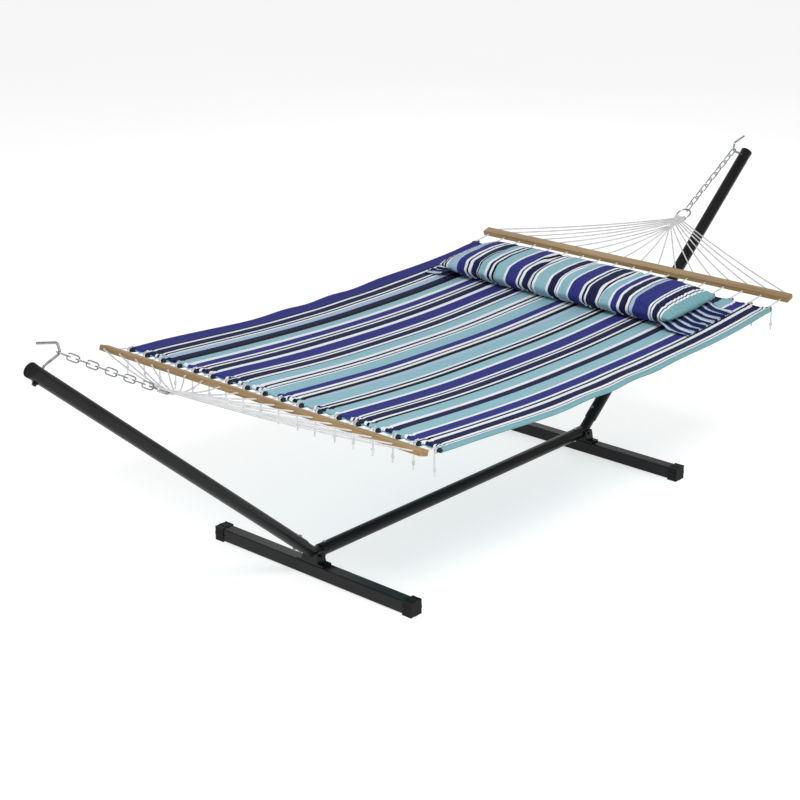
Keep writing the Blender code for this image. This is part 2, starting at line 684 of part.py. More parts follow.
# ---------------------------------------------------------------- assembly
def build_stand():
    add_both_ends("base_beam", base_beam(), "steel")
    for side, word in ((-1, "near"), (1, "far")):
        add_part("head_end_cap_" + word, end_cap(side), "plastic")
        add_part("foot_end_cap_" + word, end_cap(-side), "plastic", turned=True)
    add_both_ends("saddle", saddle(), "steel")
    flange_top = BEAM_TOP + GAP + SADDLE_FLANGE
    grip = SADDLE_FLANGE + GAP + BEAM_WALL
    for side, word in ((-1, "near"), (1, "far")):
        for end in ("head", "foot"):
            seat = Vector((BEND_X, side * SADDLE_BOLT_Y * (1 if end == "head" else -1), flange_top))
            add_part(end + "_saddle_bolt_" + word, bolt("saddle_bolt", seat, -UP, grip), "steel",
                     turned=end == "foot")
    add_both_ends("elbow", elbow(), "steel")
    width = horn_width() + BOLT_HEAD / 2
    add_both_ends("cross_bolt", bolt("cross_bolt", BEND - ACROSS * width, ACROSS, 2 * width), "steel")
    add_part("lower_tube", lower_tube(), "steel")
    tube_seat = BEND - Vector((TUBE_BOLT_AT, 0, 0)) + UP * TUBE_SIZE / 2
    add_both_ends("tube_bolt", bolt("tube_bolt", tube_seat, -UP, TUBE_SIZE), "zinc")
    add_both_ends("arm", arm(), "steel")
    arm_seat = BEND + ARM * ARM_BOLT_AT + ARM_NORMAL * TUBE_SIZE / 2
    add_both_ends("arm_bolt", bolt("arm_bolt", arm_seat, -ARM_NORMAL, TUBE_SIZE), "zinc")
    add_both_ends("tip_cap", tip_cap(), "plastic")
    add_both_ends("hook", hook(), "zinc")
    add_both_ends("hook_nut", hook_nut(), "steel")


def build_chains(head_axis, foot_axis):
    mesh = link_mesh()
    for end, axis in (("head", head_axis), ("foot", foot_axis)):
        for number in range(LINK_COUNT):
            made = add_part(f"{end}_link_{number + 1:02d}", mesh, "zinc")
            made.matrix_world = link_place(number)
            if end == "foot":
                made.matrix_world = Matrix.Rotation(math.pi, 4, "Z") @ made.matrix_world
            made.parent = axis
            made.matrix_parent_inverse = axis.matrix_world.inverted()


def build_hammock(axis):
    add_both_ends("ring", ring_mesh(RING_WIRE / 2, 6), "zinc", axis, axis)
    add_both_ends("cord_fan", cord_fan(), "cord", axis, axis)
    add_both_ends("spreader_bar", spreader_bar(), "wood", axis, axis)
    add_part("bed", bed(), "bed", axis)


def build_pillow(axis):
    add_part("pillow", pillow(), "pillow", axis)
    add_part("pillow_frill_near", frill(-1), "frill", axis)
    add_part("pillow_frill_far", frill(1), "frill", axis)


build_stand()
HEAD_SWING = add_axis("head_swing_axis", SWING_AXIS)
FOOT_SWING = add_axis("foot_swing_axis", Vector((-SWING_AXIS.x, 0, SWING_AXIS.z)))
build_chains(HEAD_SWING, FOOT_SWING)
BED_ROLL = add_axis("bed_roll_axis", Vector((-ROLL_AXIS.x, 0, ROLL_AXIS.z)), FOOT_SWING)
build_hammock(BED_ROLL)
PILLOW_LIFT = add_axis("pillow_lift_axis", Vector((PILLOW_X, 0, bed_height(PILLOW_X))), BED_ROLL)
build_pillow(PILLOW_LIFT)

for part in PARTS.objects:
    if part.type == "MESH" and any(word in part.name for word in (
            "arm", "tube", "elbow", "hook", "link", "ring", "cord_fan", "tip_cap", "pillow")):
        smooth_round(part.data)
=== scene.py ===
"""Looks of the hammock on stand: its cloth, cords, chains, wood and steel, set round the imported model.

Metres, +Z up. The head end and the pillow are at +X. What is alike at both ends is made for the head
end and turned about Z for the foot end.
"""

import json
import math
import random

import bmesh
import bpy
from mathutils import Matrix, Vector, noise

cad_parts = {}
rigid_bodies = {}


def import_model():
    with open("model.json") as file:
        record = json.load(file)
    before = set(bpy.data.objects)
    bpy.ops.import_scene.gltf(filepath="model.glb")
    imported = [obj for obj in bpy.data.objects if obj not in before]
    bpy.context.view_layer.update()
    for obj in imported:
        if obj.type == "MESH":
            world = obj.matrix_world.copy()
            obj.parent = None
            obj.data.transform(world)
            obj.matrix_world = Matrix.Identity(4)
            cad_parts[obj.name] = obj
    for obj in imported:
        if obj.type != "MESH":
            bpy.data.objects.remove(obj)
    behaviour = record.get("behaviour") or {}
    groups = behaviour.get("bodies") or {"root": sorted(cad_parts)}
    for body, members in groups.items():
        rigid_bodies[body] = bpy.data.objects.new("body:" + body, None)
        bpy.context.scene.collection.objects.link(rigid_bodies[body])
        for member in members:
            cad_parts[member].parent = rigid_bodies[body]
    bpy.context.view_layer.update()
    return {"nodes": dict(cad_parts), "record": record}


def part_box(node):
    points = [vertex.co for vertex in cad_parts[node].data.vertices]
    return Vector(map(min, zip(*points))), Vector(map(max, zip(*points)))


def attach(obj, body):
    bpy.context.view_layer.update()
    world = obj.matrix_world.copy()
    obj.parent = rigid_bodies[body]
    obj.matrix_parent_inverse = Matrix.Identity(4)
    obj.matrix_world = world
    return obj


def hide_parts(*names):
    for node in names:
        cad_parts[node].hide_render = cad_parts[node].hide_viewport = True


for thing in list(bpy.data.objects):
    bpy.data.objects.remove(thing, do_unlink=True)

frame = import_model()
NODES = frame["nodes"]
UP = Vector((0, 0, 1))
ACROSS = Vector((0, 1, 0))
TURNED = Matrix.Rotation(math.pi, 4, "Z")


def middle(node):
    low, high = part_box(node)
    return (Vector(low) + Vector(high)) / 2


def heading(angle):
    """A direction in the XZ plane, measured from +X towards +Z."""
    return Vector((math.cos(angle), 0, math.sin(angle)))


# ---------------------------------------------------------------- places read from the frame
RING = middle("head_ring")
BAR = middle("head_spreader_bar")
RING_LOW, RING_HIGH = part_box("head_ring")
BED_LOW, BED_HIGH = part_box("bed")
TAIL_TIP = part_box("head_cord_fan")[0][2]
CHAIN_ANGLE = math.radians(30)           # of the pull from ring to hook, over the floor

# ---------------------------------------------------------------- sizes of the pieces made here
RING_WIRE = 0.006
RING_RADIUS = (RING_HIGH[1] - RING_LOW[1] - RING_WIRE) / 2
RING_PLACE = Matrix.Translation(RING) @ Matrix.Rotation(-CHAIN_ANGLE, 4, "Y")
RIM = RING - heading(CHAIN_ANGLE) * RING_RADIUS
FAN_ANGLE = math.atan2(RIM.z - BAR.z, RIM.x - BAR.x)
FAN_LENGTH = (RIM - BAR).length          # from the bar to the ring's lower rim
FAN_PLACE = Matrix.Translation(BAR) @ Matrix.Rotation(-FAN_ANGLE, 4, "Y")
LINK_WIRE = 0.0045
LINK_INNER_LENGTH = 0.0423
LINK_INNER_WIDTH = 0.015
LINK_COUNT = 10

CORD_COUNT = 18
CORD_SIZE = 0.005
CORD_PITCH = 0.0795
CORD_BUNDLE = math.radians(45)
CORD_REST = 0.0002       # between a cord and what it lies on
CLEW_LENGTH = 0.085      # the cords are woven together this far from the ring
CLEW_START = 0.012       # from the ring's rim to the first cord that crosses
CLEW_SIDE = RING_RADIUS * math.sin(CORD_BUNDLE)
CLEW_TIP = 0.0025        # half the width of the weave at its narrow end
CLEW_DEEP = 0.0028       # how far the cords rise and fall in the weave
BAR_DEPTH = 0.038
HOLE_MOUTH = BAR_DEPTH / 2 + CORD_SIZE
CORD_CORNER = 0.009      # radius of a cord's bend at a hole's mouth
KNOT_DROP = 0.060        # of the knot under the hem's axis
KNOT_SIZE = 0.0014
TAIL_STEPS = 6

HEM_ROLL = 0.008         # radius of the rolled hem
HEM_PINCH = 0.0062       # its radius under a cord
HEM = Vector((BED_HIGH[0] - HEM_ROLL, 0, BED_HIGH[2] - HEM_ROLL))
BED_THICKNESS = 0.012
BED_WIDTH = BED_HIGH[1] - BED_LOW[1]
BED_SAG = HEM.z - BED_LOW[2] - BED_THICKNESS / 2
PILLOW_AT = middle("pillow")
PILLOW_X = 0.647
BED_SLOPE = math.atan(2 * BED_SAG * PILLOW_X / HEM.x ** 2)
PILLOW_PLACE = Matrix.Translation(PILLOW_AT) @ Matrix.Rotation(-BED_SLOPE, 4, "Y")
PILLOW_LENGTH = 1.050
PILLOW_DEPTH = 0.335
PILLOW_HEIGHT = 0.095
FRILL_WIDTH = 0.072
FRILL_DEPTH = 0.300


def bed_height(x):
    """Middle of the bed's thickness, a shallow parabola between its hems."""
    return HEM.z - BED_SAG * (1 - (x / HEM.x) ** 2)


# ---------------------------------------------------------------- camera
CAMERA_AT = Vector((-4.604, -3.830, 2.616))
CAMERA_AZIMUTH = math.radians(-48.23)
CAMERA_ELEVATION = math.radians(20.23)
CAMERA_LENS = 81.83


def add_camera():
    back = Vector((math.sin(CAMERA_AZIMUTH) * math.cos(CAMERA_ELEVATION),
                   -math.cos(CAMERA_AZIMUTH) * math.cos(CAMERA_ELEVATION),
                   math.sin(CAMERA_ELEVATION)))
    data = bpy.data.cameras.new("camera")
    data.sensor_width = 36.0
    data.lens = CAMERA_LENS
    data.clip_end = 60.0
    camera = bpy.data.objects.new("camera", data)
    bpy.context.scene.collection.objects.link(camera)
    camera.location = CAMERA_AT
    camera.rotation_mode = "QUATERNION"
    camera.rotation_quaternion = (-back).to_track_quat("-Z", "Y")
    bpy.context.scene.camera = camera


# ---------------------------------------------------------------- node materials
def linear(colour):
    """An sRGB colour given from 0 to 255, as linear red, green, blue and alpha."""
    parts = [value / 255 for value in colour]
    return tuple(p / 12.92 if p <= 0.04045 else ((p + 0.055) / 1.055) ** 2.4 for p in parts) + (1.0,)


def add_node(tree, kind, inputs=None, **settings):
    """A node whose inputs are values or other nodes' outputs."""
    made = tree.nodes.new(kind)
    for name, value in settings.items():
        setattr(made, name, value)
    for name, value in (inputs or {}).items():
        if isinstance(value, bpy.types.NodeSocket):
            tree.links.new(value, made.inputs[name])
        else:
            made.inputs[name].default_value = value
    return made


def calculate(tree, operation, first, second=0.5, third=0.5):
    inputs = {0: first, 1: second, 2: third}
    return add_node(tree, "ShaderNodeMath", inputs, operation=operation).outputs[0]


def mix(tree, factor, first, second, blend="MIX"):
    made = add_node(tree, "ShaderNodeMix", {0: factor, 6: first, 7: second}, data_type="RGBA",
                    blend_type=blend)
    return made.outputs[2]


def object_place(tree):
    return add_node(tree, "ShaderNodeTexCoord").outputs["Object"]


def scaled(tree, place, scale):
    return add_node(tree, "ShaderNodeVectorMath", {0: place, 1: scale}, operation="MULTIPLY").outputs[0]


def noise_of(tree, place, scale, detail=2.0, roughness=0.5):
    made = add_node(tree, "ShaderNodeTexNoise", {"Vector": place, "Scale": scale, "Detail": detail,
                                                 "Roughness": roughness})
    return made.outputs[0]


def ramp(tree, factor, stops, interpolation="LINEAR"):
    made = add_node(tree, "ShaderNodeValToRGB", {0: factor})
    made.color_ramp.interpolation = interpolation
    steps = made.color_ramp.elements
    while len(steps) < len(stops):
        steps.new(1.0)
    for step, (position, colour) in zip(steps, stops):
        step.position = position
        step.color = colour
    return made.outputs[0]


def span(tree, value, low, high):
    """A value from 0 to 1 brought to the range from low to high."""
    made = add_node(tree, "ShaderNodeMapRange", {0: value, 3: low, 4: high})
    return made.outputs[0]


def new_material(name, roughness, metallic=0.0, sheen=0.0, coat=0.0, specular=0.5):
    made = bpy.data.materials.new(name)
    made.use_nodes = True
    shader = made.node_tree.nodes["Principled BSDF"]
    shader.inputs["Roughness"].default_value = roughness
    shader.inputs["Metallic"].default_value = metallic
    shader.inputs["Sheen Weight"].default_value = sheen
    shader.inputs["Sheen Roughness"].default_value = 0.4
    shader.inputs["Coat Weight"].default_value = coat
    shader.inputs["Coat Roughness"].default_value = 0.25
    shader.inputs["Specular IOR Level"].default_value = specular
    return made, made.node_tree, shader


def connect(tree, shader, colour=None, roughness=None, normal=None):
    for name, socket in (("Base Color", colour), ("Roughness", roughness), ("Normal", normal)):
        if socket is not None:
            tree.links.new(socket, shader.inputs[name])


def bump(tree, height, strength, distance, below=None):
    inputs = {"Height": height, "Strength": strength, "Distance": distance}
    if below is not None:
        inputs["Normal"] = below
    return add_node(tree, "ShaderNodeBump", inputs).outputs[0]


PALETTE = {
    "R": linear((46, 50, 122)),      # royal blue
    "N": linear((26, 31, 68)),       # navy
    "K": linear((12, 15, 24)),       # black
    "W": linear((224, 229, 234)),    # white
    "L": linear((160, 184, 204)),    # light blue
    "A": linear((140, 182, 192)),    # aqua
    "T": linear((120, 166, 172)),    # teal hem and lining
}

# Where each woven stripe starts, in millimetres across the bed, from the far edge to the near one.
BED_STRIPES = (
    "R690 N625 W613 N601 W565 K557 W547 L537 N508 K479 A457 W425 R407 W369 K357 W347 N339 W304 "
    "R287 W227 K216 W209 N198 W169 K154 A150 W105 N88 W75 K63 W56 A46 R-9 W-39 K-51 W-61 K-76 "
    "L-96 A-116 W-168 N-178 W-191 K-201 A-217 W-255 R-269 W-319 K-329 W-337 N-345 W-376 K-386 "
    "A-396 W-445 N-459 A-487 W-535 R-546 W-584 K-595 W-605 N-619 W-649 K-658 W-663 T-672")
# The same along the pillow.
PILLOW_STRIPES = (
    "W540 K512 W502 K499 W489 L482 R441 W403 K391 W384 N370 W343 K340 A336 W306 N293 W281 K271 "
    "A261 W213 R203 W155 K143 W136 N126 W99 K85 W78 A69 W17 N5 W-25 K-30 W-33 A-39 W-77 R-86 "
    "W-136 K-149 W-158 N-166 W-205 K-214 W-221 A-227 W-265 R-274 W-298 N-309 K-329 W-337 K-347 "
    "L-351 R-365 W-431 K-439 W-443 N-450 W-474 K-481 W-486 T-493")
STOPS_IN_A_RAMP = 30


def striped(tree, across, stripes):
    """The colour at a place across a striped cloth, in metres."""
    table = [(PALETTE[word[0]], float(word[1:]) / 1000) for word in stripes.split()]
    colour = None
    for first in range(0, len(table), STOPS_IN_A_RAMP):
        part = table[first:first + STOPS_IN_A_RAMP]
        start, end = part[0][1], part[-1][1]
        factor = add_node(tree, "ShaderNodeMapRange", {0: across, 1: start, 2: end - 0.001}).outputs[0]
        stops = [((start - place) / (start - end + 0.001), tone) for tone, place in part]
        tones = ramp(tree, factor, stops, "CONSTANT")
        if colour is None:
            colour = tones
        else:
            colour = mix(tree, calculate(tree, "LESS_THAN", across, start), colour, tones)
    return colour


YARN = 0.0014            # between two yarns of the woven cloth


def woven(tree, place, colour):
    """A woven cloth's colour and surface: slubbed yarns, crossing threads and soft creases."""
    slub = noise_of(tree, scaled(tree, place, (14, 420, 60)), 1.0, 3.0)
    worn = noise_of(tree, place, 5.0, 4.0, 0.6)
    shade = ramp(tree, slub, [(0.25, (0.84, 0.84, 0.86, 1)), (0.75, (1, 1, 1, 1))])
    toned = mix(tree, 1.0, colour, shade, "MULTIPLY")
    toned = mix(tree, span(tree, worn, 0.0, 0.008), toned, (0.75, 0.78, 0.84, 1))
    waves = []
    for axis in ("X", "Y"):
        wave = add_node(tree, "ShaderNodeTexWave", {"Vector": place, "Scale": 0.314 / YARN},
                        bands_direction=axis, wave_profile="SIN")
        waves.append(wave.outputs[1])
    threads = calculate(tree, "MULTIPLY", waves[0], waves[1])
    creases = noise_of(tree, scaled(tree, place, (9, 16, 12)), 1.0, 4.0, 0.55)
    soft = bump(tree, creases, 0.35, 0.004)
    return toned, bump(tree, threads, 0.35, 0.0004, soft)


def striped_cloth(name, stripes, seam_height=None, seam_slip=0.0):
    """Striped cloth with its stripes across Y, which slip by seam_slip under seam_height."""
    made, tree, shader = new_material(name, 0.88, sheen=0.02, specular=0.12)
    place = object_place(tree)
    parts = add_node(tree, "ShaderNodeSeparateXYZ", {0: place}).outputs
    across = parts["Y"]
    if seam_height is not None:
        under = calculate(tree, "LESS_THAN", parts["Z"], seam_height)
        across = calculate(tree, "MULTIPLY_ADD", under, seam_slip, across)
    colour, normal = woven(tree, place, striped(tree, across, stripes))
    connect(tree, shader, colour, None, normal)
    return made


def plain_cloth(name, tone):
    made, tree, shader = new_material(name, 0.9, sheen=0.02, specular=0.12)
    place = object_place(tree)
    base = add_node(tree, "ShaderNodeRGB")
    base.outputs[0].default_value = tone
    colour, normal = woven(tree, place, base.outputs[0])
    connect(tree, shader, colour, None, normal)
    return made


FRILL_REPEAT = 0.040     # of the frill's stripes along its seam, as gathered


def frill_cloth():
    """The frill is cut across the stripes, so they run out from the pillow's seam."""
    made, tree, shader = new_material("frill_cloth", 0.9, sheen=0.02, specular=0.12)
    place = object_place(tree)
    parts = add_node(tree, "ShaderNodeSeparateXYZ", {0: place}).outputs
    wander = noise_of(tree, place, 22.0, 1.0)
    along = calculate(tree, "MULTIPLY_ADD", wander, 0.014, parts["X"])
    turn = calculate(tree, "FRACT", calculate(tree, "DIVIDE", along, FRILL_REPEAT))
    tones = ramp(tree, turn, [(0.0, PALETTE["N"]), (0.50, PALETTE["L"]), (0.62, PALETTE["W"]),
                              (0.70, PALETTE["L"]), (0.86, PALETTE["R"])], "CONSTANT")
    colour, normal = woven(tree, place, tones)
    connect(tree, shader, colour, None, normal)
    return made


def cord_cloth():
    """Braided white cord: fine crossing strands with painted shade in the gaps between them, and a
    little soiling.
    """
    made, tree, shader = new_material("cord_cloth", 0.8, specular=0.2)
    place = object_place(tree)
    strands = add_node(tree, "ShaderNodeTexVoronoi", {"Vector": place, "Scale": 620.0})
    tint = noise_of(tree, place, 35.0, 3.0)
    colour = ramp(tree, tint, [(0.3, linear((198, 199, 201))), (0.7, linear((222, 222, 222)))])
    # The gaps between the strands are darkened: painted shade.
    shade = ramp(tree, strands.outputs[0], [(0.0, (1, 1, 1, 1)), (0.8, (0.80, 0.80, 0.81, 1))])
    colour = mix(tree, 1.0, colour, shade, "MULTIPLY")
    connect(tree, shader, colour, None, bump(tree, strands.outputs[0], 0.5, 0.0006))
    return made


def zinc():
    """Bright zinc plate: pale metal with a mottled polish."""
    made, tree, shader = new_material("zinc_plate", 0.28, metallic=1.0)
    place = object_place(tree)
    mottle = noise_of(tree, place, 160.0, 4.0, 0.6)
    colour = ramp(tree, mottle, [(0.3, (0.27, 0.28, 0.30, 1)), (0.7, (0.46, 0.47, 0.49, 1))])
    fine = noise_of(tree, place, 900.0, 2.0)
    connect(tree, shader, colour, span(tree, mottle, 0.20, 0.42), bump(tree, fine, 0.12, 0.0002))
    return made


def oak():
    """Light brown wood with its grain along Y, under a thin varnish."""
    made, tree, shader = new_material("varnished_oak", 0.5, coat=0.1, specular=0.3)
    place = object_place(tree)
    grain_place = scaled(tree, place, (90, 3.2, 90))
    grain = noise_of(tree, grain_place, 1.0, 6.0, 0.62)
    bands = noise_of(tree, scaled(tree, place, (26, 0.9, 26)), 1.0, 3.0)
    pores = noise_of(tree, scaled(tree, place, (900, 18, 900)), 1.0, 2.0)
    colour = ramp(tree, grain, [(0.25, linear((114, 90, 56))), (0.5, linear((150, 122, 80))),
                                (0.8, linear((180, 152, 108)))])
    shade = ramp(tree, bands, [(0.3, (0.78, 0.74, 0.70, 1)), (0.7, (1, 1, 1, 1))])
    colour = mix(tree, 1.0, colour, shade, "MULTIPLY")
    dark = ramp(tree, pores, [(0.30, (0.55, 0.50, 0.45, 1)), (0.42, (1, 1, 1, 1))])
    colour = mix(tree, 0.6, colour, dark, "MULTIPLY")
    fine = bump(tree, pores, 0.15, 0.0004)
    connect(tree, shader, colour, span(tree, grain, 0.38, 0.58), bump(tree, grain, 0.12, 0.001, fine))
    return made


def black_coat():
    """Satin black powder coat with its fine orange peel."""
    made, tree, shader = new_material("black_powder_coat", 0.30, specular=0.22)
    place = object_place(tree)
    peel = noise_of(tree, place, 420.0, 3.0, 0.5)
    dust = noise_of(tree, place, 9.0, 5.0, 0.62)
    colour = ramp(tree, dust, [(0.35, (0.0035, 0.0035, 0.0040, 1)),
                               (0.75, (0.0090, 0.0090, 0.0100, 1))])
    connect(tree, shader, colour, span(tree, dust, 0.22, 0.38), bump(tree, peel, 0.10, 0.0006))
    return made


def black_plastic():
    """Moulded black plastic with a fine matt texture."""
    made, tree, shader = new_material("moulded_plastic", 0.5, specular=0.15)
    place = object_place(tree)
    grain = noise_of(tree, place, 700.0, 2.0)
    scuff = noise_of(tree, place, 30.0, 4.0, 0.6)
    colour = ramp(tree, scuff, [(0.4, (0.004, 0.004, 0.004, 1)), (0.8, (0.012, 0.012, 0.0125, 1))])
    connect(tree, shader, colour, span(tree, scuff, 0.45, 0.66), bump(tree, grain, 0.25, 0.0004))
    return made


def floor_paint():
    made, tree, shader = new_material("pale_floor", 0.9, specular=0.1)
    shader.inputs["Emission Color"].default_value = (1.0, 1.0, 1.0, 1.0)
    shader.inputs["Emission Strength"].default_value = 0.66
    place = object_place(tree)
    tint = noise_of(tree, place, 0.6, 2.0)
    colour = ramp(tree, tint, [(0.3, (0.47, 0.47, 0.47, 1)), (0.7, (0.49, 0.49, 0.49, 1))])
    connect(tree, shader, colour)
    return made


SEAM_HEIGHT = -0.030     # of the pillow's lower seam, from its middle
SEAM_SLIP = 0.007        # of the stripes across that seam
BED_CLOTH = striped_cloth("bed_cloth", BED_STRIPES)
PILLOW_CLOTH = striped_cloth("pillow_cloth", PILLOW_STRIPES, SEAM_HEIGHT, SEAM_SLIP)
LINING = plain_cloth("lining_cloth", PALETTE["T"])
# A dark teal for the faces beside each cord's loop at the bed's ends: painted shade of the pinched
# cloth.
PAINTED_SHADE_CLOTH = plain_cloth("painted_shade_fold", linear((26, 38, 48)))
FRILL_CLOTH = frill_cloth()
CORD_CLOTH = cord_cloth()
ZINC = zinc()
SLOTS = {"black_steel": black_coat(), "black_plastic": black_plastic(), "zinc": ZINC, "oak": oak(),
         "white_cord": CORD_CLOTH, "striped_quilt": BED_CLOTH, "striped_pillow": PILLOW_CLOTH,
         "frill": FRILL_CLOTH}


def dress_frame():
    """Every CAD node gets the material of its slot."""
    for part in frame["record"]["subparts"]:
        slots = NODES[part["node"]].data.materials
        slots.clear()
        slots.append(SLOTS[part["material_slot"]])


# ---------------------------------------------------------------- making pieces
def add_piece(name, data, body, place=None, replaced=()):
    """A visible piece that rides on a body, and stands for the CAD nodes it replaces."""
    made = bpy.data.objects.new(name, data)
    bpy.context.scene.collection.objects.link(made)
    if place is not None:
        made.matrix_world = place
    bpy.context.view_layer.update()
    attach(made, body)
    if replaced:
        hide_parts(*replaced)
    return made


def curve_data(name, lines, size, material, closed=False, sides=4, radii=None):
    """A round wire through each line of points."""
    data = bpy.data.curves.new(name, "CURVE")
    data.dimensions = "3D"
    data.bevel_depth = size / 2
    data.bevel_resolution = sides
    data.use_fill_caps = True
    for points in lines:
        spline = data.splines.new("POLY")
        spline.points.add(len(points) - 1)
        for number, (slot, point) in enumerate(zip(spline.points, points)):
            slot.co = (*point, 1.0)
            if radii:
                slot.radius = radii[number]
        spline.use_cyclic_u = closed
    data.materials.append(material)
    return data


def corner_arc(before, corner, after, radius, steps):
    """An arc of that radius in place of a corner."""
    back = (before - corner).normalized()
    ahead = (after - corner).normalized()
    half = back.angle(ahead) / 2
    if half > math.radians(89):
        return [corner]
    centre = corner + (back + ahead).normalized() * (radius / math.sin(half))
    first = corner + back * (radius / math.tan(half)) - centre
    last = corner + ahead * (radius / math.tan(half)) - centre
    return [centre + first.lerp(last, step / steps).normalized() * radius for step in range(steps + 1)]


def evaluated_copy(thing, name):
    bpy.context.view_layer.update()
    graph = bpy.context.evaluated_depsgraph_get()
    data = bpy.data.meshes.new_from_object(thing.evaluated_get(graph))
    data.name = name
    return data


def as_mesh(curve):
    """A curve's round wires as a mesh."""
    holder = bpy.data.objects.new("holder", curve)
    bpy.context.scene.collection.objects.link(holder)
    made = evaluated_copy(holder, curve.name)
    bpy.data.objects.remove(holder)
    for face in made.polygons:
        face.use_smooth = True
    return made


# ---------------------------------------------------------------- cords
WRAP_START = math.radians(176)    # where a cord begins on the ring's wire, round it
WRAP_STEP = math.radians(24)
WRAP_POINTS = 6
WEAVE_ENTRY_BEND = 0.0032         # radius of a cord's turn into its crossing of the weave
WEAVE_EXIT_BEND = 0.0040          # and of its turn out of it
CORD_SLACK = 0.003                # sag of every stretch from the weave to the bar
CORD_SLACK_SHARE = 0.012          # and what its length adds to it
HEM_TOP = math.radians(92)        # where a cord meets the hem, from +X
HEM_TURN = math.radians(452)      # it goes once round and on to its hanging end
HEM_STEPS = 22
HEM_SLIDE = 1.25                  # the cord has moved aside once this much faster than it turns
KNOT_STEPS = 30
KNOT_HIGH = 1.15
KNOT_DEEP = 1.5


def cord_y(number):
    return (number - (CORD_COUNT - 1) / 2) * CORD_PITCH


def ring_wrap(number):
    """Half a loop over the ring's wire: two neighbours are one rope laid over the ring.

    It lies on the other side of the ring's middle from its hole, as the cords cross in the weave.
    """
    pair = number // 2
    angle = CORD_BUNDLE * (1 - 2 * pair / (CORD_COUNT // 2 - 1))
    side = 1 if number % 2 else -1
    outward = Vector((-math.cos(angle), math.sin(angle), 0))
    reach = (RING_WIRE + CORD_SIZE) / 2 + CORD_REST
    points = []
    for step in range(WRAP_POINTS):
        turn = WRAP_START - WRAP_STEP * step
        points.append(RING_PLACE @ (outward * (RING_RADIUS + reach * math.cos(turn))
                                    + UP * (side * reach * math.sin(turn))))
    return points


def weave(number, start, mouth):
    """The cord's way down one side of the weave and across to the other, in the fan's frame."""
    ranks = CORD_COUNT // 2
    side = 1 if number >= ranks else -1
    rank = number - ranks if side == 1 else ranks - 1 - number
    flip = 1 if number % 2 else -1
    pitch = (CLEW_LENGTH - CLEW_START) / (ranks - 1)
    half = CLEW_TIP + (CLEW_SIDE - CLEW_TIP) * rank / (ranks - 1)
    first = FAN_LENGTH - CLEW_START
    crossing = first - (ranks - 1 - rank) * pitch
    steps = 3 * (ranks - 1 - rank)
    points = []
    for step in range(steps - 1):
        share = step / steps
        points.append(Vector((first - step * pitch / 3, start.y + (-side * half - start.y) * share,
                              flip * CLEW_DEEP * math.cos(math.pi * step / 3))))
    lift = side * CLEW_DEEP / 2
    enter = Vector((crossing, -side * half, lift))
    leave = Vector((crossing, side * half, lift))
    if half < 2 * CORD_SIZE:
        return points + [enter, Vector((crossing - pitch, side * half, lift / 2))]
    before = points[-1] if points else start
    points += corner_arc(before, enter, leave, WEAVE_ENTRY_BEND, 4)
    return points + corner_arc(enter, leave, mouth, WEAVE_EXIT_BEND, 3)


def span_points(start, end, sag, steps):
    """A nearly straight stretch that hangs down a little in the middle."""
    points = []
    for step in range(1, steps):
        share = step / steps
        points.append(start.lerp(end, share) - UP * (4 * sag * share * (1 - share)))
    return points


def cord_route(number, draw):
    """One cord of the head end: ring, bar, one turn round the rolled hem, and its hanging end."""
    y = cord_y(number)
    wrap = ring_wrap(number)
    mouth = Vector((HOLE_MOUTH, y, 0))
    inner = Vector((-HOLE_MOUTH, y, 0))
    woven_part = weave(number, FAN_PLACE.inverted() @ wrap[-1], mouth)
    arc = corner_arc(woven_part[-1], mouth, inner, CORD_CORNER, 4)
    points = wrap + [FAN_PLACE @ point for point in woven_part]
    first, last = points[-1], FAN_PLACE @ arc[0]
    sag = CORD_SLACK + CORD_SLACK_SHARE * (last - first).length * draw.uniform(0.6, 1.3)
    points += span_points(first, last, sag, 8)
    points += [FAN_PLACE @ point for point in arc]
    points.append(FAN_PLACE @ inner)
    reach = HEM_PINCH + CORD_SIZE / 2 + CORD_REST
    spread = CORD_SIZE / 2 + CORD_REST
    entry = HEM + heading(HEM_TOP) * reach + ACROSS * (y + spread)
    points += span_points(points[-1], entry, 0.001, 3)
    for step in range(HEM_STEPS + 1):
        share = step / HEM_STEPS
        angle = HEM_TOP - share * HEM_TURN
        slide = spread * (1 - 2 * min(1.0, share * HEM_SLIDE))
        points.append(HEM + heading(angle) * reach + ACROSS * (y + slide))
    lean = Vector((draw.uniform(-0.003, 0.003), draw.uniform(-0.004, 0.004), 0))
    start = points[-1]
    drop = start.z - TAIL_TIP
    for step in range(1, TAIL_STEPS + 1):
        share = step / TAIL_STEPS
        points.append(start - UP * (drop * share) + lean * share ** 2)
    return points


def knot_points(centre, turn):
    """A tight overhand knot as a closed trefoil."""
    size = KNOT_SIZE
    points = []
    for step in range(KNOT_STEPS):
        t = 2 * math.pi * step / KNOT_STEPS
        across = size * (math.sin(t) + 2 * math.sin(2 * t))
        height = size * KNOT_HIGH * (math.cos(t) - 2 * math.cos(2 * t))
        deep = -size * KNOT_DEEP * math.sin(3 * t)
        points.append(centre + Vector((across * math.cos(turn) - deep * math.sin(turn),
                                       across * math.sin(turn) + deep * math.cos(turn), height)))
    return points


def add_cords(end, turn):
    draw = random.Random(3 if end == "head" else 8)
    knots = []
    for number in range(CORD_COUNT):
        points = [turn @ point for point in cord_route(number, draw)]
        data = curve_data("cord", [points], CORD_SIZE, CORD_CLOTH, sides=3)
        cord = add_piece(f"{end}_cord_{number + 1:02d}", data, "hammock",
                         replaced=[end + "_cord_fan"])
        upper, lower = points[-TAIL_STEPS - 1], points[-1]
        share = (upper.z - HEM.z + KNOT_DROP) / (upper.z - lower.z)
        knots.append(knot_points(upper.lerp(lower, share), draw.uniform(0, math.pi)))
    data = curve_data("knots", knots, CORD_SIZE * 0.95, CORD_CLOTH, closed=True, sides=2)
    add_piece(end + "_cord_knots", as_mesh(data), "hammock")


